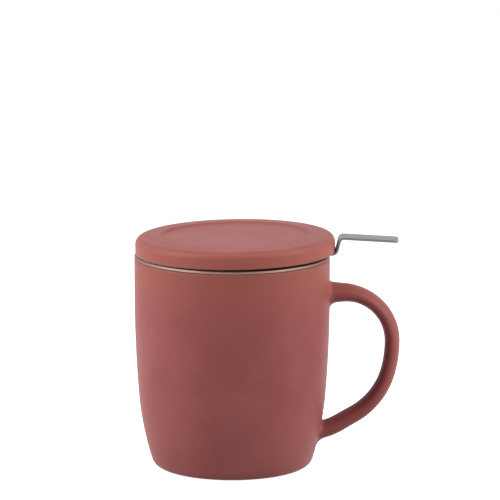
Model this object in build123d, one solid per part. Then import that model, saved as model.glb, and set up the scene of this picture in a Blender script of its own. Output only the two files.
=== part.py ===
"""Lidded tea mug with a lift-out steel infuser, in millimetres.

Frame: +Z up, origin on the mug's axis in the plane that the foot stands on, +X towards the handle.
The mug carries the infuser on its lip, and the infuser carries the lid.
"""
from build123d import *
from math import asin, atan2, cos, degrees, pi, radians, sin
import os

# ---- driving dimensions: mug body -------------------------------------------------------------
MUG_HEIGHT = 93.0  # foot plane to the top of the lip
RIM_RADIUS = 43.0  # outer radius of the mouth
WALL = 4.0  # glazed stoneware wall
STRAIGHT_BAND = 18.0  # upright band below the lip
BELLY_RADIUS = 550.0  # slow curve of the side, in profile
LOWER_CURVE_HEIGHT = 33.0  # where the side starts to draw in faster
LOWER_RADIUS = 138.0  # faster curve towards the foot, in profile
BASE_CORNER_RADIUS = 4.0  # rounding between the side and the foot
FLOOR_THICKNESS = 6.0  # foot plane to the inner floor
FLOOR_CORNER_RADIUS = 9.0  # inner floor to wall
FOOT_RECESS_RADIUS = 26.0  # hollow inside the foot ring
FOOT_RECESS_DEPTH = 1.5
FOOT_RECESS_ROUND = 0.3
LIP_OUTER_ROUND = 0.6
LIP_INNER_ROUND = 1.2

# ---- driving dimensions: mug handle -------------------------------------------------------------
HANDLE_REACH = 74.0  # mug axis to the handle's outermost point
HANDLE_TOP_HEIGHT = 77.2  # centre line of the upper, level run
HANDLE_SHOULDER_RADIUS = 21.8  # upper quarter turn
HANDLE_BACK_RADIUS = 53.0  # long outer curve
HANDLE_BACK_TURN = 14.3  # degrees
HANDLE_HEEL_RADIUS = 32.5  # lower curve back to the body
HANDLE_HEEL_TURN = 45.3  # degrees
HANDLE_LOW_RUN = 7.7  # straight stretch after the heel
HANDLE_EASE_RADIUS = 30.0  # last turn towards level, beside the body
HANDLE_EASE_TURN = 14.0  # degrees
HANDLE_BREADTH = 12.4  # across the handle at its outermost point
HANDLE_ROOT_BREADTH = 13.6  # across the handle beside the body
HANDLE_TOP_THICKNESS = 9.5
HANDLE_MID_THICKNESS = 6.7
HANDLE_LOW_THICKNESS = 7.5
HANDLE_ROOT_FLARE = 1.6  # slip fillet where the handle meets the body
HANDLE_SIDE_FLARE = 0.6  # share of it that spreads sideways, where the body curves away
HANDLE_ROOT_BURY = 3.0  # how far the blank runs into the wall before it is cut to the body's skin
HANDLE_FLARE_STEPS = (0.4, 1.1, 2.2)  # sections outside the skin, in root flares
HANDLE_FLARE_REACH = 2.0  # root flares from the skin to the end of the fillet
HANDLE_LOW_CLEAR = 3.2  # root flares from the slanted lower root to the next section
HANDLE_BACK_SECTIONS = 10  # sections that shape the handle between its two roots
HANDLE_MOUTH_CLEAR = 15.0  # the handle also stays out of the space this high over the mouth

# ---- driving dimensions: infuser ----------------------------------------------------------------
SHEET = 0.6  # steel of the rim
HEM_HEIGHT = 1.5  # folded outer edge of the rim
HEM_WIDTH = 2.6
HEM_ROUND = 0.7
BASKET_GAP = 8.0  # tea space between the mug's wall and the pierced wall
BASKET_DEPTH = 62.0  # rim's top face to the underside of the basket
BASKET_SHEET = 0.5  # steel of the pierced wall and floor
NECK_DEPTH = 8.0  # plain collar under the rim
NECK_BEND_RADIUS = 1.0
WALL_LAP = 4.0  # pierced wall inside the collar
SLOT_COLUMNS = 40
SLOT_ROWS = 6
SLOT_WIDTH = 1.0
SLOT_HEIGHT = 5.6
SLOT_MARGIN = 3.2  # plain sheet above and below the slots
PUNCH_TRAVEL = 2.0  # length of the boxes that cut the slots and the seam, across the sheet
SEAM_WIDTH = 5.0  # lap seam of the rolled wall
BAND_HEIGHT = 4.0  # crimped ring at the basket's foot
BAND_LEDGE = 2.5  # how far it reaches in under the floor
BAND_ROUND = 0.4
FLOOR_HOLE_RADIUS = 0.75
FLOOR_HOLE_PITCH = 4.0
FLOOR_HOLE_MARGIN = 1.0  # plain sheet between the holes and the ledge

# ---- driving dimensions: infuser's strip handle ---------------------------------------------------
STRIP_THICKNESS = 1.0
STRIP_WIDTH = 11.4
STRIP_REACH = 73.0  # mug axis to the strip's tip
STRIP_WELD_LENGTH = 10.5  # flat run that is welded to the rim
STRIP_RIM_OVERHANG = 0.8  # flat run past the rim's edge
STRIP_RISE = 7.05  # centre line, from the rim up to the grip
STRIP_RISER_ANGLE = 76.0  # degrees above level
STRIP_LOWER_BEND = 2.0  # inside radius
STRIP_UPPER_BEND = 1.4  # inside radius
STRIP_DROOP = 3.3  # degrees below level along the grip
STRIP_TIP_ROUND = 1.6
WELD_DIMPLE_RADIUS = 1.2
WELD_DIMPLE_DEPTH = 0.2
WELD_COUNT = 2
WELD_SPACING = 3.6
WELD_END_MARGIN = 2.6

# ---- driving dimensions: lid ----------------------------------------------------------------------
LID_OVERHANG = 0.9  # past the rim, all round
LID_THICKNESS = 8.1  # underside to the top of the raised border
LID_TOP_ROUND = 3.1
LID_BOTTOM_ROUND = 0.6
LID_BORDER_FALL = 0.7  # the border slopes down outwards by this much
LID_DISH_RADIUS = 32.0  # shallow dish in the top
LID_DISH_DEPTH = 1.0
LID_DISH_ROUND = 1.4
LID_SLAB = 4.0  # thickness between the dish and the hollow underside
LID_LAND = 3.6  # flat ring that rests on the rim
LID_RING_DEPTH = 4.0  # locating ring below the underside
LID_RING_WALL = 3.2
LID_RING_PLAY = 2.2  # radial play of the locating ring in the collar
LID_INNER_ROUND = 0.8
LID_SEAT_ANGLE = 38.0  # degrees round the strip's lower bend where the lid's edge rests
LID_SEAT_CLEARANCE = 0.05

# ---- derived sizes ----------------------------------------------------------------------------------
BASKET_RADIUS = RIM_RADIUS - WALL - BASKET_GAP  # outside of the pierced wall
RIM_TOP = MUG_HEIGHT + HEM_HEIGHT  # upper face of the infuser's rim
BASKET_BOTTOM = RIM_TOP - BASKET_DEPTH
NECK_BOTTOM = RIM_TOP - NECK_DEPTH
STRIP_BEND_START = RIM_RADIUS + STRIP_RIM_OVERHANG
LID_RADIUS = RIM_RADIUS + LID_OVERHANG


def profile_arcs(inset):
    """Angles and radii of the side's two arcs, for a skin that lies this far inside the outer one."""
    belly_turn = asin((MUG_HEIGHT - STRAIGHT_BAND - LOWER_CURVE_HEIGHT) / BELLY_RADIUS)
    lower_turn = asin(sin(belly_turn) + LOWER_CURVE_HEIGHT / LOWER_RADIUS) - belly_turn
    return belly_turn, BELLY_RADIUS - inset, lower_turn, LOWER_RADIUS - inset


def side_wall(height):
    """Outer radius of the body at a height, and how far its wall leans there, in radians."""
    belly_turn, belly_radius, _, lower_radius = profile_arcs(0)
    drop = MUG_HEIGHT - STRAIGHT_BAND - height
    if drop <= 0:
        return RIM_RADIUS, 0.0
    if height >= LOWER_CURVE_HEIGHT:
        lean = asin(drop / belly_radius)
        return RIM_RADIUS - belly_radius * (1 - cos(lean)), lean
    lean = asin(sin(belly_turn) + (LOWER_CURVE_HEIGHT - height) / lower_radius)
    start = RIM_RADIUS - belly_radius * (1 - cos(belly_turn))
    return start - lower_radius * (cos(belly_turn) - cos(lean)), lean


def side_profile(inset, bottom):
    """Half section of the mug's side and everything inside it, down to a level bottom."""
    belly_turn, belly_radius, lower_turn, lower_radius = profile_arcs(inset)
    top_radius = RIM_RADIUS - inset
    with BuildSketch(Plane.XZ) as sketch:
        with BuildLine():
            band = Line((top_radius, MUG_HEIGHT), (top_radius, MUG_HEIGHT - STRAIGHT_BAND))
            belly = JernArc(band @ 1, band % 1, belly_radius, -degrees(belly_turn))
            lower = JernArc(belly @ 1, belly % 1, lower_radius, -degrees(lower_turn))
            end = lower @ 1
            Polyline((end.X, end.Y), (0, end.Y), (0, MUG_HEIGHT), (top_radius, MUG_HEIGHT))
        make_face()
        with Locations((0, (MUG_HEIGHT + bottom) / 2)):
            Rectangle(4 * RIM_RADIUS, MUG_HEIGHT - bottom, mode=Mode.INTERSECT)
    return sketch.sketch


def rounded_at(sketch, radius, height, rounding):
    """The sketch with its corner nearest to a place in the half section rounded."""
    place = Vector(radius, 0, height)
    corner = sorted(sketch.vertices(), key=lambda v: (Vector(v.X, v.Y, v.Z) - place).length)[0]
    return fillet(corner, rounding)


def turned(section):
    """A half section turned round the mug's axis."""
    return revolve(section, Axis.Z, 360)


def ring(inner, outer, bottom, top):
    """A plain tube on the mug's axis, or a disc if it has no inner radius."""
    tube = Cylinder(outer, top - bottom)
    if inner > 0:
        tube -= Cylinder(inner, top - bottom)
    return Pos(0, 0, (bottom + top) / 2) * tube


def outer_envelope():
    """The mug's outside and the space over its mouth as one filled solid."""
    foot_corner, _ = side_wall(0)
    section = rounded_at(side_profile(0, 0), foot_corner, 0, BASE_CORNER_RADIUS)
    return turned(section) + ring(0, RIM_RADIUS, MUG_HEIGHT, MUG_HEIGHT + HANDLE_MOUTH_CLEAR)


def mug_body():
    """Turned stoneware body with a flat lip, a rounded inside and a foot ring."""
    foot_corner, _ = side_wall(0)
    floor_corner = side_wall(FLOOR_THICKNESS)[0] - WALL
    cavity = side_profile(WALL, FLOOR_THICKNESS)
    cavity = rounded_at(cavity, floor_corner, FLOOR_THICKNESS, FLOOR_CORNER_RADIUS)
    section = rounded_at(side_profile(0, 0), foot_corner, 0, BASE_CORNER_RADIUS) - cavity
    section = rounded_at(section, RIM_RADIUS, MUG_HEIGHT, LIP_OUTER_ROUND)
    section = rounded_at(section, RIM_RADIUS - WALL, MUG_HEIGHT, LIP_INNER_ROUND)
    recess = Cylinder(FOOT_RECESS_RADIUS, 2 * FOOT_RECESS_DEPTH)
    body = turned(section) - recess
    mouth = body.edges().filter_by(GeomType.CIRCLE).sort_by_distance((FOOT_RECESS_RADIUS, 0, 0))[0]
    return fillet(mouth, FOOT_RECESS_ROUND)


def handle_path():
    """Centre line of the handle: level run, shoulder, back, heel, and the low run into the body."""
    shoulder_x = HANDLE_REACH - HANDLE_MID_THICKNESS / 2 - HANDLE_SHOULDER_RADIUS
    with BuildLine(Plane.XZ) as line:
        run = Line((0, HANDLE_TOP_HEIGHT), (shoulder_x, HANDLE_TOP_HEIGHT))
        shoulder = JernArc(run @ 1, run % 1, HANDLE_SHOULDER_RADIUS, -90)
        back = JernArc(shoulder @ 1, shoulder % 1, HANDLE_BACK_RADIUS, -HANDLE_BACK_TURN)
        heel = JernArc(back @ 1, back % 1, HANDLE_HEEL_RADIUS, -HANDLE_HEEL_TURN)
        low = Line(heel @ 1, (heel @ 1) + (heel % 1) * HANDLE_LOW_RUN)
        ease = JernArc(low @ 1, low % 1, HANDLE_EASE_RADIUS, -HANDLE_EASE_TURN)
        Line(ease @ 1, (ease @ 1) + (ease % 1) * RIM_RADIUS)
    return line.wires()[0]


def lower_crossing(path):
    """Fraction of the path where its last stretch enters the body's outer skin."""
    outside, inside = 0.5, 1.0
    for _ in range(40):
        middle = (outside + inside) / 2
        point = path @ middle
        if point.X > side_wall(point.Z)[0]:
            outside = middle
        else:
            inside = middle
    return outside


def upper_crossing(path):
    """Fraction of the path where its level run leaves the body's outer skin."""
    return side_wall(HANDLE_TOP_HEIGHT)[0] / path.length


def flare(distance):
    """How far the handle spreads at this distance from the body's skin."""
    if distance < 0:
        return HANDLE_ROOT_FLARE
    left = 1 - distance / (HANDLE_FLARE_REACH * HANDLE_ROOT_FLARE)
    return HANDLE_ROOT_FLARE * max(0.0, left) ** 4


def handle_thickness(share):
    """In-plane thickness along the handle, from its upper root (0) to its lower root (1)."""
    swell = sin(pi * share)
    if share < 0.5:
        return HANDLE_MID_THICKNESS + (HANDLE_TOP_THICKNESS - HANDLE_MID_THICKNESS) * (1 - swell) ** 3
    return HANDLE_LOW_THICKNESS + (HANDLE_MID_THICKNESS - HANDLE_LOW_THICKNESS) * swell**2


def handle_breadth(share):
    """Breadth along the handle."""
    return HANDLE_ROOT_BREADTH + (HANDLE_BREADTH - HANDLE_ROOT_BREADTH) * sin(pi * share) ** 2


def root_sections(path, crossing, share, outward):
    """Sections parallel to the body's skin beside a root, from inside the wall outwards."""
    start = path @ crossing
    heading = (path % crossing) * outward
    lean = side_wall(start.Z)[1]
    normal = Vector(cos(lean), 0, -sin(lean))
    square = heading.dot(normal)
    outside = [step * HANDLE_ROOT_FLARE for step in HANDLE_FLARE_STEPS]
    sections = []
    for distance in [-HANDLE_ROOT_BURY, 0.0] + outside:
        centre = start + (heading / square if distance > 0 else normal) * distance
        plane = Plane(origin=centre, x_dir=(0, 1, 0), z_dir=normal * outward)
        spread = flare(distance)
        half_breadth = handle_breadth(share) / 2 + HANDLE_SIDE_FLARE * spread
        half_height = handle_thickness(share) / 2 / square + spread
        sections.append(plane * Ellipse(half_breadth, half_height))
    return sections


def mug_handle(envelope):
    """Loop handle with an oval section and flared roots, cut to sit on the body's skin."""
    path = handle_path()
    upper = upper_crossing(path)
    lower = lower_crossing(path)
    top = root_sections(path, upper, 0.0, 1)
    bottom = root_sections(path, lower, 1.0, -1)
    clear_top = upper + HANDLE_FLARE_STEPS[-1] * HANDLE_ROOT_FLARE / path.length
    clear_bottom = lower - HANDLE_LOW_CLEAR * HANDLE_ROOT_FLARE / path.length
    middle = []
    for step in range(1, HANDLE_BACK_SECTIONS + 1):
        place = clear_top + (clear_bottom - clear_top) * step / (HANDLE_BACK_SECTIONS + 1)
        share = (place - upper) / (lower - upper)
        plane = Plane(origin=path @ place, x_dir=(0, 1, 0), z_dir=path % place)
        middle.append(plane * Ellipse(handle_breadth(share) / 2, handle_thickness(share) / 2))
    return loft(top + middle + bottom[::-1]) - envelope


def infuser_rim():
    """Flat steel rim with a folded outer edge and a plain collar."""
    with BuildSketch(Plane.XZ) as sketch:
        with Locations(((BASKET_RADIUS + RIM_RADIUS) / 2, RIM_TOP - SHEET / 2)):
            Rectangle(RIM_RADIUS - BASKET_RADIUS, SHEET)
        with Locations((RIM_RADIUS - HEM_WIDTH / 2, MUG_HEIGHT + HEM_HEIGHT / 2)):
            Rectangle(HEM_WIDTH, HEM_HEIGHT)
        with Locations((BASKET_RADIUS + SHEET / 2, RIM_TOP - NECK_DEPTH / 2)):
            Rectangle(SHEET, NECK_DEPTH)
    section = sketch.sketch
    section = rounded_at(section, RIM_RADIUS, RIM_TOP, HEM_ROUND)
    section = rounded_at(section, RIM_RADIUS, MUG_HEIGHT, HEM_ROUND)
    section = rounded_at(section, RIM_RADIUS - HEM_WIDTH, MUG_HEIGHT, HEM_ROUND)
    section = rounded_at(section, BASKET_RADIUS + SHEET, RIM_TOP - SHEET, NECK_BEND_RADIUS - SHEET / 2)
    section = rounded_at(section, BASKET_RADIUS, RIM_TOP, NECK_BEND_RADIUS)
    return turned(section)


def infuser_wall():
    """Pierced steel tube with staggered upright slots and a lap seam on its inside."""
    bottom = BASKET_BOTTOM + BASKET_SHEET
    top = NECK_BOTTOM + WALL_LAP
    inner = BASKET_RADIUS - BASKET_SHEET
    wall = ring(inner, BASKET_RADIUS, bottom, top)
    seam_bottom = bottom + BASKET_SHEET
    seam_box = Pos(-inner, 0, (seam_bottom + top) / 2) * Box(PUNCH_TRAVEL, SEAM_WIDTH, top - seam_bottom)
    wall += ring(inner - BASKET_SHEET, inner, seam_bottom, top) & seam_box
    low = BASKET_BOTTOM + BAND_HEIGHT + SLOT_MARGIN
    high = NECK_BOTTOM - SLOT_MARGIN
    pitch = (high - low) / SLOT_ROWS
    slots = []
    for row in range(SLOT_ROWS):
        for column in range(SLOT_COLUMNS):
            turn = 360 / SLOT_COLUMNS * (column + 0.5 * (row % 2))
            place = Rot(0, 0, turn) * Pos(inner, 0, low + pitch * (row + 0.5))
            slots.append(place * Box(PUNCH_TRAVEL, SLOT_WIDTH, SLOT_HEIGHT))
    return wall.cut(*slots)


def infuser_floor():
    """Pierced steel disc with rings of round holes."""
    radius = BASKET_RADIUS - BASKET_SHEET
    reach = BASKET_RADIUS - BAND_LEDGE - FLOOR_HOLE_MARGIN - FLOOR_HOLE_RADIUS
    rings = int(reach / FLOOR_HOLE_PITCH)
    holes = Sketch() + Circle(FLOOR_HOLE_RADIUS)
    for number in range(1, rings + 1):
        holes += PolarLocations(number * FLOOR_HOLE_PITCH, 6 * number) * Circle(FLOOR_HOLE_RADIUS)
    disc = Circle(radius) - holes
    return extrude(Pos(0, 0, BASKET_BOTTOM + BASKET_SHEET) * disc, BASKET_SHEET)


def infuser_base_band():
    """Crimped ring that holds the pierced wall and floor together."""
    outside = BASKET_RADIUS + BASKET_SHEET
    leg = ring(BASKET_RADIUS, outside, BASKET_BOTTOM, BASKET_BOTTOM + BAND_HEIGHT)
    ledge = ring(BASKET_RADIUS - BAND_LEDGE, outside, BASKET_BOTTOM, BASKET_BOTTOM + BASKET_SHEET)
    band = leg + ledge
    corner = band.edges().filter_by(GeomType.CIRCLE).sort_by_distance((outside, 0, BASKET_BOTTOM))[0]
    return fillet(corner, BAND_ROUND)


def strip_path():
    """Centre line of the strip: welded run, lower bend, riser, upper bend and grip."""
    half = STRIP_THICKNESS / 2
    lower = STRIP_LOWER_BEND + half
    upper = STRIP_UPPER_BEND + half
    riser = radians(STRIP_RISER_ANGLE)
    droop = radians(STRIP_DROOP)
    bends = lower * (1 - cos(riser)) + upper * (cos(droop) - cos(riser))
    with BuildLine(Plane.XZ) as line:
        start = (STRIP_BEND_START - STRIP_WELD_LENGTH, RIM_TOP + half)
        run = Line(start, (STRIP_BEND_START, RIM_TOP + half))
        bend = JernArc(run @ 1, run % 1, lower, STRIP_RISER_ANGLE)
        rise = Line(bend @ 1, (bend @ 1) + (bend % 1) * ((STRIP_RISE - bends) / sin(riser)))
        crest = JernArc(rise @ 1, rise % 1, upper, -(STRIP_RISER_ANGLE + STRIP_DROOP))
        grip = (STRIP_REACH - (crest @ 1).X) / cos(droop)
        Line(crest @ 1, (crest @ 1) + (crest % 1) * grip)
    return line.wires()[0]


def infuser_handle():
    """Flat steel strip that is spot-welded to the rim and bent up past the lid's edge."""
    path = strip_path()
    start = Plane(origin=path @ 0, x_dir=(0, 1, 0), z_dir=path % 0)
    strip = sweep(start * Rectangle(STRIP_WIDTH, STRIP_THICKNESS), path)
    ends = strip.faces().filter_by(lambda face: abs(face.area - STRIP_WIDTH * STRIP_THICKNESS) < 0.001)
    corners = ends.edges().filter_by(lambda edge: edge.length < 1.01 * STRIP_THICKNESS)
    strip = fillet(corners, STRIP_TIP_ROUND)
    ball = (WELD_DIMPLE_RADIUS**2 + WELD_DIMPLE_DEPTH**2) / (2 * WELD_DIMPLE_DEPTH)
    height = RIM_TOP + STRIP_THICKNESS - WELD_DIMPLE_DEPTH + ball
    for weld in range(WELD_COUNT):
        place = STRIP_BEND_START - STRIP_WELD_LENGTH + WELD_END_MARGIN + weld * WELD_SPACING
        strip -= Pos(place, 0, height) * Sphere(ball)
    return strip


def lid_place():
    """Where the lid lies: its far edge on the rim, its near edge in the strip's lower bend."""
    reach = STRIP_LOWER_BEND - LID_BOTTOM_ROUND - LID_SEAT_CLEARANCE
    seat = radians(LID_SEAT_ANGLE)
    lift = STRIP_THICKNESS + STRIP_LOWER_BEND - LID_BOTTOM_ROUND - reach * cos(seat)
    near = STRIP_BEND_START + reach * sin(seat)
    far = RIM_RADIUS - HEM_ROUND
    tilt = atan2(lift, near + far)
    centre_x = near - (LID_RADIUS - LID_BOTTOM_ROUND) * cos(tilt)
    centre_z = RIM_TOP + (centre_x + far) * sin(tilt) / cos(tilt) + LID_SEAT_CLEARANCE
    return Pos(centre_x, 0, centre_z) * Rot(0, -degrees(tilt), 0)


def lid():
    """Stoneware lid: dished top, raised border, flat land, and a locating ring underneath."""
    ring_outer = BASKET_RADIUS - LID_RING_PLAY
    ring_inner = ring_outer - LID_RING_WALL
    hollow = LID_THICKNESS - LID_DISH_DEPTH - LID_SLAB
    edge_top = LID_THICKNESS - LID_BORDER_FALL
    dish_floor = LID_THICKNESS - LID_DISH_DEPTH
    land = LID_RADIUS - LID_LAND
    with BuildSketch(Plane.XZ) as sketch:
        with BuildLine():
            Polyline(
                (0, dish_floor),
                (LID_DISH_RADIUS, dish_floor),
                (LID_DISH_RADIUS + LID_DISH_DEPTH, LID_THICKNESS),
                (LID_RADIUS, edge_top),
                (LID_RADIUS, 0),
                (land, 0),
                (land, hollow),
                (ring_outer, hollow),
                (ring_outer, -LID_RING_DEPTH),
                (ring_inner, -LID_RING_DEPTH),
                (ring_inner, hollow),
                (0, hollow),
                close=True,
            )
        make_face()
    section = sketch.sketch
    section = rounded_at(section, LID_RADIUS, edge_top, LID_TOP_ROUND)
    section = rounded_at(section, LID_RADIUS, 0, LID_BOTTOM_ROUND)
    section = rounded_at(section, LID_DISH_RADIUS, dish_floor, LID_DISH_ROUND)
    section = rounded_at(section, LID_DISH_RADIUS + LID_DISH_DEPTH, LID_THICKNESS, LID_DISH_ROUND)
    section = rounded_at(section, land, 0, LID_INNER_ROUND)
    section = rounded_at(section, land, hollow, LID_INNER_ROUND)
    section = rounded_at(section, ring_outer, hollow, LID_INNER_ROUND)
    section = rounded_at(section, ring_outer, -LID_RING_DEPTH, LID_INNER_ROUND)
    section = rounded_at(section, ring_inner, -LID_RING_DEPTH, LID_INNER_ROUND)
    section = rounded_at(section, ring_inner, hollow, LID_INNER_ROUND)
    return lid_place() * turned(section)


def write_parts():
    """One STEP file for each piece."""
    os.makedirs("parts", exist_ok=True)
    envelope = outer_envelope()
    pieces = {
        "mug_body": mug_body(),
        "mug_handle": mug_handle(envelope),
        "infuser_rim": infuser_rim(),
        "infuser_wall": infuser_wall(),
        "infuser_floor": infuser_floor(),
        "infuser_base_band": infuser_base_band(),
        "infuser_handle": infuser_handle(),
        "lid": lid(),
    }
    for name, piece in pieces.items():
        export_step(piece, f"parts/{name}.step")


write_parts()
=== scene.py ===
import math

import bmesh
import bpy
from mathutils import Matrix, Vector


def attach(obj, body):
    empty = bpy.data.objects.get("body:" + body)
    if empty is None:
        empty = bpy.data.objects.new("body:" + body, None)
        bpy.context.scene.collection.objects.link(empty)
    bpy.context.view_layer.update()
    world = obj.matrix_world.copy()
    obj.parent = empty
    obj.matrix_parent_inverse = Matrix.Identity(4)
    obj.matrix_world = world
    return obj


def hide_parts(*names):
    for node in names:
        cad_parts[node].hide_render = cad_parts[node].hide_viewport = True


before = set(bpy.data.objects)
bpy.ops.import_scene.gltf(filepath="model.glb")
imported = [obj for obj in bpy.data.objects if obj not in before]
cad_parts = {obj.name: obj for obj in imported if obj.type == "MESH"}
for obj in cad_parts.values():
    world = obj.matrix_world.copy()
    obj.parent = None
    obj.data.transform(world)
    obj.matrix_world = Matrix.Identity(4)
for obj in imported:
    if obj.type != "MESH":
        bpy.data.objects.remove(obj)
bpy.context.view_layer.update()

# The lidded tea mug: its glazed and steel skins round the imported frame, the studio and the camera.
# Sizes are in millimetres, angles in degrees. Meshes are made in metres, in the frame's own axes.
MM = 0.001
TURN_SEGMENTS = 256  # vertices round a turned piece
ARC_STEP = 9.0  # largest turn between two points of an arc
ARC_LEAST_STEPS = 4
SUPPORT_SHARE = 0.3  # a support point lies this share of the rounding beyond an arc's end
SUPPORT_ROOM = 0.45  # and within this share of the edge
CORNER_ROOM = 1.6  # a side's points start this many roundings above its corner
HALVINGS = 40  # of the range in which a crossing is looked for

# ---- the mug's body, as in the frame --------------------------------------------------------------
MUG_HEIGHT = 93.0
RIM_RADIUS = 43.0
WALL = 4.0
STRAIGHT_BAND = 18.0
BELLY_RADIUS = 550.0
LOWER_CURVE_HEIGHT = 33.0
LOWER_RADIUS = 138.0
BASE_CORNER_RADIUS = 4.0
FLOOR_THICKNESS = 6.0
FLOOR_CORNER_RADIUS = 9.0
FOOT_RECESS_RADIUS = 26.0
FOOT_RECESS_DEPTH = 1.5
FOOT_RECESS_ROUND = 0.5
LIP_OUTER_ROUND = 0.6
LIP_INNER_ROUND = 1.2
PROFILE_STEP = 2.0  # height between two points of the side
BARE_FOOT_HEIGHT = 0.55  # the glaze is wiped off below this

# ---- the mug's handle --------------------------------------------------------------------------------
HANDLE_REACH = 73.96  # a hair less than in the frame, so that this skin stays inside its box
HANDLE_TOP_HEIGHT = 77.2
HANDLE_SHOULDER_RADIUS = 21.8
HANDLE_BACK_RADIUS = 53.0
HANDLE_BACK_TURN = 14.3
HANDLE_HEEL_RADIUS = 32.5
HANDLE_HEEL_TURN = 45.3
HANDLE_LOW_RUN = 7.7
HANDLE_EASE_RADIUS = 30.0
HANDLE_EASE_TURN = 14.0
HANDLE_BREADTH = 12.4
HANDLE_ROOT_BREADTH = 13.6
HANDLE_TOP_THICKNESS = 9.5
HANDLE_MID_THICKNESS = 6.7
HANDLE_LOW_THICKNESS = 7.5
ROOT_SPREAD = 2.1  # how far the fillet at a root runs out over the body
ROOT_SPREAD_BELOW = 0.8  # more of it on a root's underside, and as much less on top
ROOT_REACH = 1.3  # the fillet's length along the handle, for each millimetre of spread
ROOT_LIFT = 0.01  # the fillet's edge stands this proud of the body
ROOT_SKIRT = 0.8  # last ring beyond the fillet, which dips under the body's skin
ROOT_SEARCH = 9.0  # each line of the handle meets the body within this much of its centre line
HANDLE_SIDES = 72
HANDLE_STATIONS = 150
FILLET_STEPS = 12

# ---- the infuser ---------------------------------------------------------------------------------------
SHEET = 0.6
HEM_WIDTH = 2.6
HEM_HEIGHT = 1.5
HEM_GAP = 0.3  # air inside the fold
BASKET_GAP = 8.0  # from the mug's wall to the collar
COLLAR_DEPTH = 8.0
COLLAR_BEND = 1.0
SHEET_EDGE_ROUND = 0.2
RIM_TOP = MUG_HEIGHT + HEM_HEIGHT
COLLAR_RADIUS = RIM_RADIUS - WALL - BASKET_GAP
COLLAR_BOTTOM = RIM_TOP - COLLAR_DEPTH

# ---- the infuser's strip handle ------------------------------------------------------------------------
STRIP_THICKNESS = 1.0
STRIP_WIDTH = 11.4
STRIP_REACH = 73.0
STRIP_WELD_LENGTH = 10.5  # flat run on the rim
STRIP_RIM_OVERHANG = 0.8
STRIP_RISE = 7.05
STRIP_RISER_ANGLE = 76.0
STRIP_LOWER_BEND = 2.0
STRIP_UPPER_BEND = 1.4
STRIP_DROOP = 3.3
STRIP_TIP_ROUND = 1.6
STRIP_EDGE_ROUND = 0.2
STRIP_LEAST_ROUND = 0.02  # what is left of the edge's rounding at the strip's two ends
STRIP_ACROSS = 48  # points across each broad face
STRIP_STEP = 0.25  # length between two rings
STRIP_EDGE_STEPS = 5  # points round each long edge
STRIP_END_STEPS = 6  # rings round the edge at each end
STRIP_TIP_STEPS = 9  # rings round the corners at each end
WELD_DIMPLE_RADIUS = 1.2
WELD_DIMPLE_DEPTH = 0.2
WELD_COUNT = 2
WELD_SPACING = 3.6
WELD_END_MARGIN = 2.6
STRIP_BEND_START = RIM_RADIUS + STRIP_RIM_OVERHANG
STRIP_START = STRIP_BEND_START - STRIP_WELD_LENGTH
WELD_PLACES = [STRIP_START + WELD_END_MARGIN + weld * WELD_SPACING for weld in range(WELD_COUNT)]

# ---- the lid, in its own axes, with its underside at height 0 ------------------------------------------
LID_OVERHANG = 0.9
LID_THICKNESS = 8.1
LID_TOP_ROUND = 3.1
LID_BOTTOM_ROUND = 0.6
LID_BORDER_FALL = 0.7
LID_DISH_RADIUS = 32.0
LID_DISH_DEPTH = 1.0
LID_DISH_ROUND = 1.4
LID_SLAB = 4.0
LID_LAND = 3.6
LID_RING_DEPTH = 4.0
LID_RING_WALL = 3.2
LID_RING_PLAY = 2.2  # between the locating ring and the collar
LID_INNER_ROUND = 0.8
LID_SEAT_ANGLE = 38.0
LID_SEAT_CLEARANCE = 0.04  # a hair less than in the frame, so that the lid stays inside its box
LID_FAR_SEAT = 0.7  # from the rim's far edge in to where the lid rests on it
LID_BARE_HEIGHT = 0.4  # the locating ring's foot is unglazed this far up
LID_RADIUS = RIM_RADIUS + LID_OVERHANG
LID_HOLLOW = LID_THICKNESS - LID_DISH_DEPTH - LID_SLAB
LID_RING_OUTER = COLLAR_RADIUS - LID_RING_PLAY
LID_RING_INNER = LID_RING_OUTER - LID_RING_WALL

# ---- the finishes: feature sizes, and the depths of their bumps ----------------------------------------
CLOUD_SIZE = 22.0  # slow change of the glaze's colour
WOBBLE_SIZE = 14.0  # uneven thickness of the glaze
WOBBLE_DEPTH = 0.03
MOTTLE_SIZE = 1.6
MOTTLE_DEPTH = 0.012
GRAIN_SIZE = 0.35
GRAIN_DEPTH = 0.006
SPECK_PITCH = 1.5
WARM_SHARE = 0.8  # how much of the warm colour shows at its strongest
GLAZE_SPECULAR = 0.18
GLAZE_ROUGHNESS = (0.46, 0.58)
BARE_ROUGHNESS = 0.36  # what the bare clay adds
BARE_EDGE = 0.04  # half the breadth of the line between glaze and clay
BARE_WAVER_SIZE = 3.0
BARE_WAVER = 0.35  # how far that line strays
BRUSH_LINE_SIZE = 0.30
BRUSH_FINE_SIZE = 0.09
BRUSH_STRETCH = 0.03  # brushing along X is stretched by squeezing X to this share
BRUSH_TURN = 1.2  # brushing round the axis counts a radian as this many millimetres
BRUSH_DARK = 0.86  # the darkest lines have this share of the steel's colour
BRUSH_ROUGHNESS = 0.22  # how far the lines spread the roughness
SMUDGE_SIZE = 9.0
SMUDGE_ROUGHNESS = 0.07  # what a smudge adds
EDGE_SHADE_BREADTH = 0.35  # from the strip's long edges in to where their painted shade starts
TIP_SHADE_BREADTH = 0.3  # the same at its tip
EDGE_SHADE_FULL = 0.1  # from an edge in to where that painted shade is full
HEM_REFLECTION_BREADTH = 0.8  # from the rim's outer edge in to where the hem's painted reflection starts
HEM_REFLECTION_FULL = 0.3  # and to where it is full
STRAW_REACH = (2.6, 1.3)  # from a weld's middle to where its tint starts, and to where it is full
STRAW_SHARE = 0.55
BLUE_REACH = (1.5, 0.9)
BLUE_SHARE = 0.5

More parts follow.
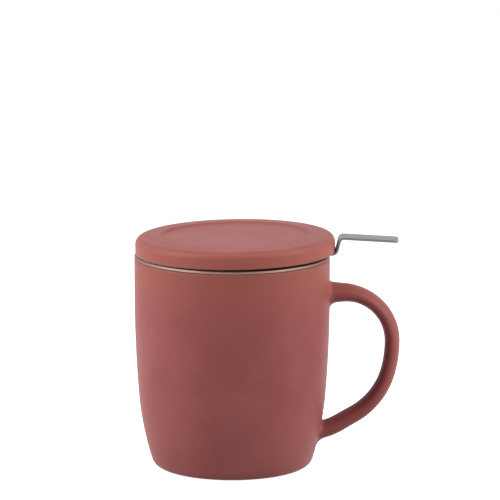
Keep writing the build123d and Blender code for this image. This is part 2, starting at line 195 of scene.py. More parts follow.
# ---- the studio, in metres -----------------------------------------------------------------------------
CAMERA_PLACE = (0.00784, -1.5732, 0.38458)
CAMERA_PITCH = 10.391  # degrees below level
CAMERA_LENS = 261.9
CAMERA_SENSOR = 36.0
FLOOR_SIZE = 14.0
FLOOR_DROP = 0.00005  # the floor lies this far under the foot, so that the two never share a plane
FLOOR_GREY_BOUNCED = 0.4  # the floor's paint, as the object is lit by it
FLOOR_GREY_SEEN = 0.8
FLOOR_GLOW = 0.875  # added where the floor is seen, which makes it white
AMBIENT = 0.16
MUG_MIDDLE = Vector((0.01, 0.0, 0.05))
LAMPS = (  # name, place, size and watts of each soft box
    ("left_box", (-0.55, -0.20, 0.38), 0.45, 3.9),
    ("right_box", (0.55, -0.20, 0.40), 0.45, 4.45),
    ("high_box", (-0.42, -0.05, 0.62), 0.30, 1.2),
)


# ---- outlines ------------------------------------------------------------------------------------------
def rounded(corners, closed=False):
    """Outline of (x, z) points through corners given as (x, z, rounding), with arcs and support points."""
    points = []
    count = len(corners)
    for i, (x, z, radius) in enumerate(corners):
        here = Vector((x, z))
        if radius == 0 or (not closed and i in (0, count - 1)):
            points.append(here)
            continue
        before = Vector(corners[i - 1][:2]) - here
        after = Vector(corners[(i + 1) % count][:2]) - here
        half = before.angle(after) / 2
        tangent = radius / math.tan(half)
        centre = here + (before.normalized() + after.normalized()).normalized() * (radius / math.sin(half))
        support = tangent + SUPPORT_SHARE * radius
        first, last = before.normalized() * tangent, after.normalized() * tangent
        if support < SUPPORT_ROOM * before.length:
            points.append(here + before.normalized() * support)
        start = here + first - centre
        sweep = math.pi - 2 * half
        side = 1 if start.x * (here + last - centre).y - start.y * (here + last - centre).x > 0 else -1
        steps = max(ARC_LEAST_STEPS, math.ceil(math.degrees(sweep) / ARC_STEP))
        for step in range(steps + 1):
            angle = side * sweep * step / steps
            cos, sin = math.cos(angle), math.sin(angle)
            points.append(centre + Vector((start.x * cos - start.y * sin, start.x * sin + start.y * cos)))
        if support < SUPPORT_ROOM * after.length:
            points.append(here + after.normalized() * support)
    return points


def side_radius(height):
    """Outer radius of the mug's body at a height."""
    drop = MUG_HEIGHT - STRAIGHT_BAND - height
    if drop <= 0:
        return RIM_RADIUS
    belly_drop = MUG_HEIGHT - STRAIGHT_BAND - LOWER_CURVE_HEIGHT
    belly_turn = math.asin(min(drop, belly_drop) / BELLY_RADIUS)
    radius = RIM_RADIUS - BELLY_RADIUS * (1 - math.cos(belly_turn))
    if height >= LOWER_CURVE_HEIGHT:
        return radius
    lean = math.asin(math.sin(belly_turn) + (LOWER_CURVE_HEIGHT - height) / LOWER_RADIUS)
    return radius - LOWER_RADIUS * (math.cos(belly_turn) - math.cos(lean))


def side_points(inset, low, high):
    """Points up the side between two heights, for a skin this far inside the outer one."""
    steps = round((high - low) / PROFILE_STEP)
    heights = [low + (high - low) * step / steps for step in range(steps + 1)]
    return [(side_radius(height) - inset, height, 0) for height in heights]


def body_outline():
    """Half section of the mug's body, from its inner floor round the lip and the foot to the recess."""
    inner_low = FLOOR_THICKNESS + CORNER_ROOM * FLOOR_CORNER_RADIUS
    outer_low = CORNER_ROOM * BASE_CORNER_RADIUS
    inside = side_points(WALL, inner_low, MUG_HEIGHT - STRAIGHT_BAND / 3)
    outside = side_points(0, outer_low, MUG_HEIGHT - STRAIGHT_BAND / 3)
    return rounded(
        [(0, FLOOR_THICKNESS, 0)]
        + [(side_radius(FLOOR_THICKNESS) - WALL, FLOOR_THICKNESS, FLOOR_CORNER_RADIUS)]
        + inside
        + [(RIM_RADIUS - WALL, MUG_HEIGHT, LIP_INNER_ROUND), (RIM_RADIUS, MUG_HEIGHT, LIP_OUTER_ROUND)]
        + outside[::-1]
        + [(side_radius(0), 0, BASE_CORNER_RADIUS)]
        + [(FOOT_RECESS_RADIUS, 0, FOOT_RECESS_ROUND)]
        + [(FOOT_RECESS_RADIUS, FOOT_RECESS_DEPTH, FOOT_RECESS_ROUND), (0, FOOT_RECESS_DEPTH, 0)]
    )


def lid_outline():
    """Half section of the lid, from the dish over the border and the side to the hollow underneath."""
    dish = LID_THICKNESS - LID_DISH_DEPTH
    land = LID_RADIUS - LID_LAND
    return rounded(
        [
            (0, dish, 0),
            (LID_DISH_RADIUS, dish, LID_DISH_ROUND),
            (LID_DISH_RADIUS + LID_DISH_DEPTH, LID_THICKNESS, LID_DISH_ROUND),
            (LID_RADIUS, LID_THICKNESS - LID_BORDER_FALL, LID_TOP_ROUND),
            (LID_RADIUS, 0, LID_BOTTOM_ROUND),
            (land, 0, LID_INNER_ROUND),
            (land, LID_HOLLOW, LID_INNER_ROUND),
            (LID_RING_OUTER, LID_HOLLOW, LID_INNER_ROUND),
            (LID_RING_OUTER, -LID_RING_DEPTH, LID_INNER_ROUND),
            (LID_RING_INNER, -LID_RING_DEPTH, LID_INNER_ROUND),
            (LID_RING_INNER, LID_HOLLOW, LID_INNER_ROUND),
            (0, LID_HOLLOW, 0),
        ]
    )


def rim_outline():
    """Section of the infuser's rim: collar, flat ring and an open fold along its outer edge."""
    fold = HEM_HEIGHT / 2
    fold_inner = RIM_RADIUS - SHEET
    hem_end = RIM_RADIUS - HEM_WIDTH
    return rounded(
        [
            (COLLAR_RADIUS, COLLAR_BOTTOM, SHEET_EDGE_ROUND),
            (COLLAR_RADIUS, RIM_TOP, COLLAR_BEND),
            (RIM_RADIUS, RIM_TOP, fold),
            (RIM_RADIUS, RIM_TOP - HEM_HEIGHT, fold),
            (hem_end, RIM_TOP - HEM_HEIGHT, SHEET_EDGE_ROUND),
            (hem_end, RIM_TOP - SHEET - HEM_GAP, SHEET_EDGE_ROUND),
            (fold_inner, RIM_TOP - SHEET - HEM_GAP, HEM_GAP / 2),
            (fold_inner, RIM_TOP - SHEET, HEM_GAP / 2),
            (COLLAR_RADIUS + SHEET, RIM_TOP - SHEET, COLLAR_BEND - SHEET),
            (COLLAR_RADIUS + SHEET, COLLAR_BOTTOM, SHEET_EDGE_ROUND),
        ],
        closed=True,
    )


# ---- meshes --------------------------------------------------------------------------------------------
def make_piece(name, points, faces, body, slot, node, material):
    """A smooth mesh piece from points in millimetres, which rides on a body and stands for a CAD node."""
    mesh = bpy.data.meshes.new(name)
    mesh.from_pydata([Vector(p) * MM for p in points], [], faces)
    build = bmesh.new()
    build.from_mesh(mesh)
    bmesh.ops.recalc_face_normals(build, faces=build.faces)
    build.to_mesh(mesh)
    build.free()
    mesh.shade_smooth()
    mesh.materials.append(material)
    piece = bpy.data.objects.new(name, mesh)
    bpy.context.scene.collection.objects.link(piece)
    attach(piece, body)
    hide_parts(node)
    return piece


def turned(outline, closed=False):
    """Points and faces of an outline turned round the Z axis."""
    points, rings, faces = [], [], []
    for corner in outline:
        on_axis = corner.x < 1e-6
        turns = 1 if on_axis else TURN_SEGMENTS
        rings.append((len(points), turns))
        for turn in range(turns):
            angle = 2 * math.pi * turn / TURN_SEGMENTS
            points.append((corner.x * math.cos(angle), corner.x * math.sin(angle), corner.y))
    pairs = list(zip(rings, rings[1:])) + ([(rings[-1], rings[0])] if closed else [])
    for (a, a_turns), (b, b_turns) in pairs:
        for turn in range(TURN_SEGMENTS):
            after = (turn + 1) % TURN_SEGMENTS
            corners = [a + turn % a_turns, a + after % a_turns, b + after % b_turns, b + turn % b_turns]
            faces.append(list(dict.fromkeys(corners)))
    return points, faces


def skinned(rings, capped):
    """Points and faces of a tube through rings of points, with flat ends if it is capped."""
    around = len(rings[0])
    points = [point for ring in rings for point in ring]
    faces = []
    for row in range(len(rings) - 1):
        for turn in range(around):
            a, b = row * around + turn, row * around + (turn + 1) % around
            faces.append([a, b, b + around, a + around])
    if capped:
        last = len(points) - around
        faces.append(list(range(around))[::-1])
        faces.append([last + turn for turn in range(around)])
    return points, faces


class Route:
    """Straight runs and arcs one after another in the XZ plane, given as (length, turn to the left)."""

    def __init__(self, start, stretches):
        self.stretches = []
        place, heading = Vector((start[0], 0, start[1])), 0.0
        self.length = 0.0
        for length, turn in stretches:
            self.stretches.append((self.length, length, turn, place, heading))
            place, heading = self.follow(length, length, turn, place, heading)
            self.length += length

    @staticmethod
    def follow(distance, length, turn, place, heading):
        """Place and heading after a distance along one stretch."""
        bend = math.radians(turn) / length
        if abs(bend) < 1e-9:
            return place + Vector((math.cos(heading), 0, math.sin(heading))) * distance, heading
        after = heading + bend * distance
        shift = Vector((math.sin(after) - math.sin(heading), 0, math.cos(heading) - math.cos(after)))
        return place + shift / bend, after

    def at(self, distance):
        """Place, forward direction and upward direction at a distance from the start."""
        found = [stretch for stretch in self.stretches if stretch[0] <= distance] or self.stretches[:1]
        start, length, turn, place, heading = found[-1]
        place, heading = self.follow(distance - start, length, turn, place, heading)
        forward = Vector((math.cos(heading), 0, math.sin(heading)))
        return place, forward, Vector((-forward.z, 0, forward.x))


def arc(radius, turn):
    """A route's stretch for an arc, with a positive turn to the left."""
    return radius * math.radians(abs(turn)), turn


def handle_route():
    """Centre line of the handle, from the mug's axis round the loop and back."""
    shoulder_x = HANDLE_REACH - HANDLE_MID_THICKNESS / 2 - HANDLE_SHOULDER_RADIUS
    return Route(
        (0, HANDLE_TOP_HEIGHT),
        [
            (shoulder_x, 0),
            arc(HANDLE_SHOULDER_RADIUS, -90),
            arc(HANDLE_BACK_RADIUS, -HANDLE_BACK_TURN),
            arc(HANDLE_HEEL_RADIUS, -HANDLE_HEEL_TURN),
            (HANDLE_LOW_RUN, 0),
            arc(HANDLE_EASE_RADIUS, -HANDLE_EASE_TURN),
            (RIM_RADIUS, 0),
        ],
    )


def outside_body(point):
    """How far a point lies outside the body's skin."""
    return math.hypot(point.x, point.y) - side_radius(point.z)


def on_body(point, lift):
    """The point moved level, away from the mug's axis or towards it, to lie this far outside the skin."""
    reach = (side_radius(point.z) + lift) / math.hypot(point.x, point.y)
    return Vector((point.x * reach, point.y * reach, point.z))


def crossing(curve, inside, outside):
    """Distance along a curve at which it passes through the body's skin."""
    for _ in range(HALVINGS):
        middle = (inside + outside) / 2
        if outside_body(curve(middle)) > 0:
            outside = middle
        else:
            inside = middle
    return (inside + outside) / 2


def handle_rings():
    """Rings of points along the handle, with a fillet over the body's skin at both ends."""
    route = handle_route()
    middle = route.length / 2
    upper = crossing(lambda s: route.at(s)[0], 0, middle)
    lower = crossing(lambda s: route.at(s)[0], route.length - 1, middle)

    def half_sizes(distance):
        share = min(1.0, max(0.0, (distance - upper) / (lower - upper)))
        swell = math.sin(math.pi * share)
        breadth = HANDLE_ROOT_BREADTH + (HANDLE_BREADTH - HANDLE_ROOT_BREADTH) * swell**2
        if share < 0.5:
            thickening = (HANDLE_TOP_THICKNESS - HANDLE_MID_THICKNESS) * (1 - swell) ** 3
        else:
            thickening = (HANDLE_LOW_THICKNESS - HANDLE_MID_THICKNESS) * (1 - swell**2)
        return breadth / 2, (HANDLE_MID_THICKNESS + thickening) / 2

    def fillet(curve, hit, inward, across):
        """Points from the body's skin up to the handle, along one line of the handle."""
        spread = ROOT_SPREAD - ROOT_SPREAD_BELOW * across.z
        away = hit - inward * spread * ROOT_REACH
        corner = curve(hit)
        foot = on_body(corner + across * spread, ROOT_LIFT)
        skirt = on_body(corner + across * (spread + ROOT_SKIRT), -ROOT_LIFT)
        top = curve(away)
        points = [skirt]
        for step in range(FILLET_STEPS):
            t = step / FILLET_STEPS
            points.append(foot * (1 - t) ** 2 + corner * 2 * t * (1 - t) + top * t**2)
        return points, away

    lines = []
    for side in range(HANDLE_SIDES):
        angle = 2 * math.pi * side / HANDLE_SIDES

        def curve(distance):
            place, _, up = route.at(distance)
            half_breadth, half_thickness = half_sizes(distance)
            level = Vector((0, half_breadth * math.cos(angle), 0))
            return place + level + up * half_thickness * math.sin(angle)

        start = crossing(curve, upper - ROOT_SEARCH, upper + ROOT_SEARCH)
        end = crossing(curve, lower + ROOT_SEARCH, lower - ROOT_SEARCH)
        across_top = Vector((0, math.cos(angle), math.sin(angle)))
        across_low = Vector((0, math.cos(angle), -math.sin(angle)))
        first, leave = fillet(curve, start, -1, across_top)
        last, arrive = fillet(curve, end, 1, across_low)
        span = arrive - leave
        along = [curve(leave + span * step / HANDLE_STATIONS) for step in range(HANDLE_STATIONS + 1)]
        lines.append(first + along + last[::-1])
    return [list(ring) for ring in zip(*lines)]


def strip_route():
    """Centre line of the infuser's strip handle."""
    half = STRIP_THICKNESS / 2
    lower, upper = STRIP_LOWER_BEND + half, STRIP_UPPER_BEND + half
    riser, droop = math.radians(STRIP_RISER_ANGLE), math.radians(STRIP_DROOP)
    bends = lower * (1 - math.cos(riser)) + upper * (math.cos(droop) - math.cos(riser))
    rise = (STRIP_RISE - bends) / math.sin(riser)
    stretches = [
        (STRIP_BEND_START - STRIP_START, 0),
        arc(lower, STRIP_RISER_ANGLE),
        (rise, 0),
        arc(upper, -(STRIP_RISER_ANGLE + STRIP_DROOP)),
    ]
    start = (STRIP_START, RIM_TOP + half)
    bent = Route(start, stretches)
    grip = (STRIP_REACH - bent.at(bent.length)[0].x) / math.cos(droop)
    return Route(start, stretches + [(grip, 0)])


def quarter_depths(radius, steps):
    """Depths from its end at which rings follow a quarter round."""
    return [radius * (1 - math.cos(math.pi / 2 * step / steps)) for step in range(steps + 1)]


def quarter_inset(depth, radius):
    """How far a quarter round has drawn in at this depth from its end."""
    return radius - math.sqrt(max(0.0, radius**2 - (radius - depth) ** 2)) if depth < radius else 0.0


def strip_section(half_width, half_height, rounding):
    """Points round the strip's section as (across, up), finely spaced over its broad faces."""
    points = []
    for sign, start in ((1, 0), (-1, 180)):
        for x_sign, first in ((sign, start), (-sign, start + 90)):
            across, up = x_sign * (half_width - rounding), sign * (half_height - rounding)
            for step in range(STRIP_EDGE_STEPS + 1):
                angle = math.radians(first + 90 * step / STRIP_EDGE_STEPS)
                points.append((across + rounding * math.cos(angle), up + rounding * math.sin(angle)))
            if x_sign == sign:
                reach = half_width - rounding
                for step in range(1, STRIP_ACROSS):
                    points.append((sign * (reach - 2 * reach * step / STRIP_ACROSS), sign * half_height))
    return points


def weld_dip(point):
    """How far the strip's upper face is pressed in by a spot weld."""
    dip = 0.0
    for place in WELD_PLACES:
        share = math.hypot(point.x - place, point.y) / WELD_DIMPLE_RADIUS
        if share < 1:
            dip += WELD_DIMPLE_DEPTH * (1 - share**2) ** 2
    return dip


def strip_rings():
    """Rings of points along the strip, with rounded edges and rounded corners at both ends."""
    route = strip_route()
    tip = [depth for depth in quarter_depths(STRIP_TIP_ROUND, STRIP_TIP_STEPS) if depth > STRIP_EDGE_ROUND]
    ends = quarter_depths(STRIP_EDGE_ROUND, STRIP_END_STEPS) + tip
    inner = route.length - 2 * ends[-1]
    steps = round(inner / STRIP_STEP)
    between = [ends[-1] + inner * step / steps for step in range(1, steps)]
    places = ends + between + [route.length - depth for depth in reversed(ends)]
    rings = []
    for distance in places:
        depth = min(distance, route.length - distance)
        edge = quarter_inset(depth, STRIP_EDGE_ROUND)
        half_width = STRIP_WIDTH / 2 - max(quarter_inset(depth, STRIP_TIP_ROUND), edge)
        half_height = STRIP_THICKNESS / 2 - edge
        rounding = max(STRIP_EDGE_ROUND - edge, STRIP_LEAST_ROUND)
        centre, _, up = route.at(distance)
        ring = []
        for across, rise in strip_section(half_width, half_height, rounding):
            point = centre + Vector((0, across, 0)) + up * rise
            if rise > 0 and point.x < STRIP_BEND_START:
                point.z -= weld_dip(point)
            ring.append(point)
        rings.append(ring)
    return rings


def lid_place():
    """Where the lid lies: its far edge on the rim, its near edge in the strip's lower bend."""
    reach = STRIP_LOWER_BEND - LID_BOTTOM_ROUND - LID_SEAT_CLEARANCE
    seat = math.radians(LID_SEAT_ANGLE)
    lift = STRIP_THICKNESS + STRIP_LOWER_BEND - LID_BOTTOM_ROUND - reach * math.cos(seat)
    near = STRIP_BEND_START + reach * math.sin(seat)
    far = RIM_RADIUS - LID_FAR_SEAT
    tilt = math.atan2(lift, near + far)
    centre_x = near - (LID_RADIUS - LID_BOTTOM_ROUND) * math.cos(tilt)
    centre_z = RIM_TOP + (centre_x + far) * math.tan(tilt) + LID_SEAT_CLEARANCE
    return Matrix.Translation((centre_x, 0, centre_z)) @ Matrix.Rotation(-tilt, 4, "Y")


# ---- materials -----------------------------------------------------------------------------------------
def srgb(red, green, blue):
    """A colour written as 0 to 255 screen values, as the shader takes it."""
    return tuple(((value / 255 + 0.055) / 1.055) ** 2.4 for value in (red, green, blue)) + (1,)


CLAY_DARK, CLAY_PALE = srgb(186, 146, 118), srgb(206, 170, 142)
# the first colour is painted shade for the strip's long edges and tip
# the second colour is a painted reflection of the red body and the dark gap on the rim's hem
EDGE_PAINTED_SHADE, HEM_PAINTED_REFLECTION = srgb(110, 105, 108), srgb(130, 108, 100)
STRAW_TINT, BLUE_TINT = srgb(158, 132, 100), srgb(112, 118, 138)


class Nodes:
    """A material's node tree with short calls for the nodes that the finishes use."""

    def __init__(self, name):
        self.material = bpy.data.materials.new(name)
        self.material.use_nodes = True
        self.tree = self.material.node_tree
        self.shader = self.tree.nodes["Principled BSDF"]
        self.place = self.add("ShaderNodeTexCoord").outputs["Object"]

    def add(self, kind, **settings):
        node = self.tree.nodes.new(kind)
        for key, value in settings.items():
            setattr(node, key, value)
        return node

    def wire(self, value, socket):
        if isinstance(value, bpy.types.NodeSocket):
            self.tree.links.new(value, socket)
        else:
            socket.default_value = value

    def noise(self, size, detail=2.0, vector=None, roughness=0.5):
        """Noise whose features are about this many millimetres wide."""
        node = self.add("ShaderNodeTexNoise")
        self.wire(vector or self.place, node.inputs["Vector"])
        node.inputs["Scale"].default_value = 1 / (size * MM)
        node.inputs["Detail"].default_value = detail
        node.inputs["Roughness"].default_value = roughness
        return node.outputs["Fac"]

    def math(self, operation, a, b=0.0, clamp=False):
        node = self.add("ShaderNodeMath", operation=operation, use_clamp=clamp)
        self.wire(a, node.inputs[0])
        self.wire(b, node.inputs[1])
        return node.outputs[0]

    def remap(self, value, low, high, to_low=0.0, to_high=1.0):
        """The value's range stretched to another one, with smooth ends."""
        node = self.add("ShaderNodeMapRange", interpolation_type="SMOOTHSTEP")
        for value_in, socket in zip((value, low, high, to_low, to_high), node.inputs):
            self.wire(value_in, socket)
        return node.outputs["Result"]

    def fade(self, length, start, full, most=1.0):
        """0 where a length in metres is at the first place, and the most at the second, in millimetres."""
        return self.remap(length, start * MM, full * MM, 0.0, most)

    def mix(self, share, a, b):
        node = self.add("ShaderNodeMix", data_type="RGBA")
        self.wire(share, node.inputs[0])
        self.wire(a, node.inputs[6])
        self.wire(b, node.inputs[7])
        return node.outputs[2]

    def bump(self, height, depth, below=None):
        """A bump of this many millimetres for the height's full range, on top of another one."""
        node = self.add("ShaderNodeBump")
        node.inputs["Strength"].default_value = 1.0
        node.inputs["Distance"].default_value = depth * MM
        self.wire(height, node.inputs["Height"])
        if below:
            self.wire(below, node.inputs["Normal"])
        return node.outputs["Normal"]

    def split(self, vector=None):
        node = self.add("ShaderNodeSeparateXYZ")
        self.wire(vector or self.place, node.inputs[0])
        return node.outputs

    def join(self, x, y, z):
        node = self.add("ShaderNodeCombineXYZ")
        for value, socket in zip((x, y, z), node.inputs):
            self.wire(value, socket)
        return node.outputs[0]

    def height_in(self, place):
        """Height in metres above the ground plane of a place given in millimetres."""
        up = place.to_3x3() @ Vector((0, 0, 1))
        node = self.add("ShaderNodeVectorMath", operation="DOT_PRODUCT")
        self.wire(self.place, node.inputs[0])
        node.inputs[1].default_value = up
        return self.math("SUBTRACT", node.outputs["Value"], place.to_translation().dot(up) * MM)

    def radius(self):
        """Distance in metres from the Z axis."""
        x, y, _ = self.split()
        return self.math("SQRT", self.math("ADD", self.math("MULTIPLY", x, x), self.math("MULTIPLY", y, y)))

    def distance(self, point):
        """Distance in metres from a fixed point."""
        node = self.add("ShaderNodeVectorMath", operation="DISTANCE")
        self.wire(self.place, node.inputs[0])
        node.inputs[1].default_value = point
        return node.outputs["Value"]


def glaze(name, colour, thin, pooled, warm, warm_heights, bare_top, place=Matrix.Identity(4)):
    """Satin glaze on stoneware, warmer from one height to another, and bare clay below a third one. On the
    lid the warmer tone covers the rounded top edge and the side below it: a painted highlight along that
    edge.

    The heights are measured in the axes of the piece's place.
    """
    n = Nodes(name)
    cloud = n.noise(CLOUD_SIZE, 3)
    mottle = n.noise(MOTTLE_SIZE, 4, roughness=0.65)
    grain = n.noise(GRAIN_SIZE, 2)
    tone = n.mix(n.remap(cloud, 0.35, 0.65), pooled, colour)
    tone = n.mix(n.remap(mottle, 0.52, 0.72, 0.0, 0.30), tone, thin)
    specks = n.add("ShaderNodeTexVoronoi", feature="F1")
    specks.inputs["Scale"].default_value = 1 / (SPECK_PITCH * MM)
    n.wire(n.place, specks.inputs["Vector"])
    rare = n.remap(n.split(specks.outputs["Color"])[0], 0.72, 0.78)
    speck = n.math("MULTIPLY", n.remap(specks.outputs["Distance"], 0.16, 0.05), rare)
    tone = n.mix(n.math("MULTIPLY", speck, 0.30), tone, pooled)
    height = n.height_in(place)
    tone = n.mix(n.fade(height, *warm_heights, WARM_SHARE), tone, warm)
    waver = n.math("SUBTRACT", n.noise(BARE_WAVER_SIZE, 2), 0.5)
    ragged = n.math("ADD", height, n.math("MULTIPLY", waver, BARE_WAVER * MM))
    bare = n.fade(ragged, bare_top + BARE_EDGE, bare_top - BARE_EDGE)
    clay = n.mix(grain, CLAY_DARK, CLAY_PALE)
    n.wire(n.mix(bare, tone, clay), n.shader.inputs["Base Color"])
    satin = n.remap(mottle, 0.3, 0.7, *GLAZE_ROUGHNESS)
    rough = n.math("ADD", satin, n.math("MULTIPLY", bare, BARE_ROUGHNESS), clamp=True)
    n.wire(rough, n.shader.inputs["Roughness"])
    n.shader.inputs["Specular IOR Level"].default_value = GLAZE_SPECULAR
    wobble = n.bump(n.noise(WOBBLE_SIZE, 1), WOBBLE_DEPTH)
    skin = n.bump(mottle, MOTTLE_DEPTH, wobble)
    n.wire(n.bump(grain, GRAIN_DEPTH, skin), n.shader.inputs["Normal"])
    return n.material


def steel(name, colour, rough, grain_vector, line_depth, tint=None):
    """Brushed stainless steel. The grain's vector is stretched along the brushing."""
    n = Nodes(name)
    vector = grain_vector(n)
    lines = n.noise(BRUSH_LINE_SIZE, 3, vector)
    fine = n.noise(BRUSH_FINE_SIZE, 2, vector)
    smudge = n.noise(SMUDGE_SIZE, 3)
    dark = tuple(BRUSH_DARK * channel for channel in colour[:3]) + (1,)
    shade = n.mix(n.remap(lines, 0.3, 0.7), dark, colour)
    n.wire(tint(n, shade) if tint else shade, n.shader.inputs["Base Color"])
    n.shader.inputs["Metallic"].default_value = 1.0
    spread = n.math("MULTIPLY", n.math("SUBTRACT", lines, 0.5), BRUSH_ROUGHNESS)
    worn = n.remap(smudge, 0.4, 0.65, rough, rough + SMUDGE_ROUGHNESS)
    n.wire(n.math("ADD", worn, spread, clamp=True), n.shader.inputs["Roughness"])
    n.wire(n.bump(fine, line_depth / 3, n.bump(lines, line_depth)), n.shader.inputs["Normal"])
    return n.material


def strip_shade_and_heat_tint(n, shade):
    """Painted shade on the strip's long edges and tip, and the heat tints round its spot welds."""
    across = n.math("ABSOLUTE", n.split()[1])
    # painted shade along the strip's long edges and at its tip
    edge_shade = n.fade(across, STRIP_WIDTH / 2 - EDGE_SHADE_BREADTH, STRIP_WIDTH / 2 - EDGE_SHADE_FULL)
    tip = n.fade(n.split()[0], STRIP_REACH - TIP_SHADE_BREADTH, STRIP_REACH - EDGE_SHADE_FULL)
    shade = n.mix(n.math("MAXIMUM", edge_shade, tip), shade, EDGE_PAINTED_SHADE)
    for place in WELD_PLACES:
        near = n.distance(Vector((place, 0, RIM_TOP + STRIP_THICKNESS)) * MM)
        shade = n.mix(n.fade(near, *STRAW_REACH, STRAW_SHARE), shade, STRAW_TINT)
        shade = n.mix(n.fade(near, *BLUE_REACH, BLUE_SHARE), shade, BLUE_TINT)
    return shade


def hem_painted_reflection(n, shade):
    """A painted reflection of the red body and the dark gap on the rim's folded hem, which makes it warmer
    and darker than its flat.
    """
    # painted reflection of the red body and the dark gap, on the outer hem
    hem = n.fade(n.radius(), RIM_RADIUS - HEM_REFLECTION_BREADTH, RIM_RADIUS - HEM_REFLECTION_FULL)
    return n.mix(hem, shade, HEM_PAINTED_REFLECTION)


def along_x(n):
    """Grain along X."""
    x, y, z = n.split()
    return n.join(n.math("MULTIPLY", x, BRUSH_STRETCH), y, z)


def round_axis(n):
    """Grain round the Z axis."""
    x, y, z = n.split()
    angle = n.math("MULTIPLY", n.math("ARCTAN2", y, x), BRUSH_TURN * MM)
    return n.join(n.radius(), angle, z)


body_glaze = glaze(
    "terracotta_glaze",
    colour=srgb(147, 81, 79),
    thin=srgb(160, 95, 91),
    pooled=srgb(141, 75, 73),
    warm=srgb(152, 83, 74),
    warm_heights=(MUG_HEIGHT - 24.0, MUG_HEIGHT - 8.0),
    bare_top=BARE_FOOT_HEIGHT,
)
lid_glaze = glaze(
    "terracotta_lid_glaze",
    colour=srgb(147, 84, 80),
    thin=srgb(160, 98, 93),
    pooled=srgb(142, 78, 74),
    # on the lid the warm tone is a painted highlight on the rounded top edge, kept on down the side
    warm=srgb(157, 86, 75),
    warm_heights=(LID_THICKNESS - 0.8, LID_THICKNESS - 1.8),
    bare_top=LID_BARE_HEIGHT - LID_RING_DEPTH,
    place=lid_place(),
)
strip_steel = steel("brushed_strip_steel", srgb(140, 136, 137), 0.42, along_x, 0.010, strip_shade_and_heat_tint)
rim_steel = steel("turned_rim_steel", srgb(140, 135, 132), 0.5, round_axis, 0.006, hem_painted_reflection)
wall_steel = steel("rolled_wall_steel", srgb(143, 140, 138), 0.36, round_axis, 0.006)
floor_steel = steel("rolled_floor_steel", srgb(143, 140, 138), 0.36, along_x, 0.006)
band_steel = steel("crimped_band_steel", srgb(140, 135, 132), 0.38, round_axis, 0.006)

# ---- the object's pieces ---------------------------------------------------------------------------------
body_mesh = turned(body_outline())
handle_mesh = skinned(handle_rings(), capped=False)
lid_points, lid_faces = turned(lid_outline())
lid_points = [lid_place() @ Vector(point) for point in lid_points]
rim_mesh = turned(rim_outline(), closed=True)
strip_mesh = skinned(strip_rings(), capped=True)

make_piece("glazed_body", *body_mesh, "mug", "stoneware_glaze", "mug_body", body_glaze)
make_piece("glazed_handle", *handle_mesh, "mug", "stoneware_glaze", "mug_handle", body_glaze)
make_piece("glazed_lid", lid_points, lid_faces, "lid", "lid_glaze", "lid", lid_glaze)
make_piece("folded_rim", *rim_mesh, "infuser", "steel", "infuser_rim", rim_steel)
make_piece("bent_strip", *strip_mesh, "infuser", "brushed_strip", "infuser_handle", strip_steel)

for node, material in (
    ("infuser_wall", wall_steel),
    ("infuser_floor", floor_steel),
    ("infuser_base_band", band_steel),
):
    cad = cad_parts[node]
    if not cad.material_slots:
        cad.data.materials.append(material)
    for holder in cad.material_slots:
        holder.material = material


# ---- studio ----------------------------------------------------------------------------------------------
def seen_rays(tree):
    """1 for camera, glossy and transmission rays, which see the white studio itself."""
    path = tree.nodes.new("ShaderNodeLightPath")
    total = path.outputs["Is Camera Ray"]
    for name in ("Is Glossy Ray", "Is Transmission Ray"):
        add = tree.nodes.new("ShaderNodeMath")
        add.operation = "ADD"
        add.use_clamp = True
        tree.links.new(total, add.inputs[0])
        tree.links.new(path.outputs[name], add.inputs[1])
        total = add.outputs[0]
    return total


def studio_world():
    """White where it is seen, and a plain dim grey as light."""
    world = bpy.data.worlds.new("studio")
    bpy.context.scene.world = world
    world.use_nodes = True
    tree = world.node_tree
    tree.nodes.clear()
    light, white = (tree.nodes.new("ShaderNodeBackground") for _ in range(2))
    mix = tree.nodes.new("ShaderNodeMixShader")
    light.inputs["Color"].default_value = (1, 1, 1, 1)
    light.inputs["Strength"].default_value = AMBIENT
    white.inputs["Color"].default_value = (1, 1, 1, 1)
    white.inputs["Strength"].default_value = 1.0
    out = tree.nodes.new("ShaderNodeOutputWorld")
    tree.links.new(seen_rays(tree), mix.inputs[0])
    tree.links.new(light.outputs[0], mix.inputs[1])
    tree.links.new(white.outputs[0], mix.inputs[2])
    tree.links.new(mix.outputs[0], out.inputs[0])


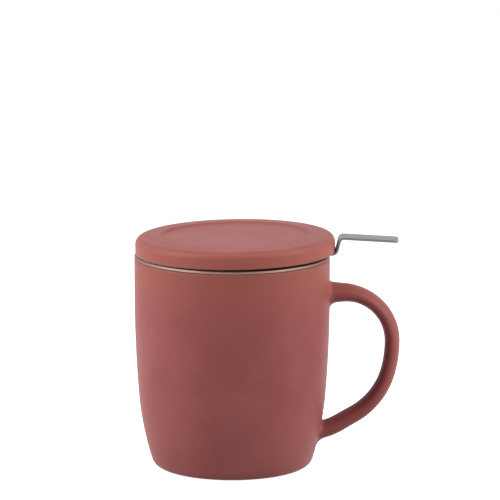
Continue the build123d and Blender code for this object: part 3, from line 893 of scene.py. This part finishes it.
def studio_floor():
    """Pale floor that fades to white and keeps a soft shadow."""
    mesh = bpy.data.meshes.new("floor")
    half = FLOOR_SIZE / 2
    corners = [(-half, -half), (half, -half), (half, half), (-half, half)]
    mesh.from_pydata([(x, y, -FLOOR_DROP) for x, y in corners], [], [[0, 1, 2, 3]])
    floor = bpy.data.objects.new("floor", mesh)
    bpy.context.scene.collection.objects.link(floor)
    material = bpy.data.materials.new("pale_floor")
    material.use_nodes = True
    tree = material.node_tree
    tree.nodes.clear()
    kinds = ("ShaderNodeBsdfDiffuse", "ShaderNodeEmission", "ShaderNodeAddShader")
    paint, shine, add = (tree.nodes.new(kind) for kind in kinds)
    grey = tree.nodes.new("ShaderNodeMix")
    grey.data_type = "RGBA"
    grey.inputs[6].default_value = (FLOOR_GREY_BOUNCED,) * 3 + (1,)
    grey.inputs[7].default_value = (FLOOR_GREY_SEEN,) * 3 + (1,)
    strength = tree.nodes.new("ShaderNodeMath")
    strength.operation = "MULTIPLY"
    strength.inputs[1].default_value = FLOOR_GLOW
    out = tree.nodes.new("ShaderNodeOutputMaterial")
    seen = seen_rays(tree)
    tree.links.new(seen, grey.inputs[0])
    tree.links.new(grey.outputs[2], paint.inputs["Color"])
    tree.links.new(seen, strength.inputs[0])
    tree.links.new(strength.outputs[0], shine.inputs["Strength"])
    tree.links.new(paint.outputs[0], add.inputs[0])
    tree.links.new(shine.outputs[0], add.inputs[1])
    tree.links.new(add.outputs[0], out.inputs[0])
    mesh.materials.append(material)


def soft_box(name, place, size, watts):
    """A large square lamp aimed at the mug."""
    lamp = bpy.data.lights.new(name, "AREA")
    lamp.shape = "SQUARE"
    lamp.size = size
    lamp.energy = watts
    holder = bpy.data.objects.new(name, lamp)
    holder.location = place
    holder.rotation_euler = (MUG_MIDDLE - Vector(place)).to_track_quat("-Z", "Y").to_euler()
    bpy.context.scene.collection.objects.link(holder)


def studio_camera():
    """The camera at the photograph's viewing angle."""
    camera = bpy.data.objects.new("camera", bpy.data.cameras.new("camera"))
    camera.data.lens = CAMERA_LENS
    camera.data.sensor_width = CAMERA_SENSOR
    camera.location = CAMERA_PLACE
    camera.rotation_euler = (math.radians(90 - CAMERA_PITCH), 0, 0)
    bpy.context.scene.collection.objects.link(camera)
    bpy.context.scene.camera = camera


studio_world()
studio_floor()
for lamp in LAMPS:
    soft_box(*lamp)
studio_camera()
bpy.context.scene.view_settings.view_transform = "Standard"
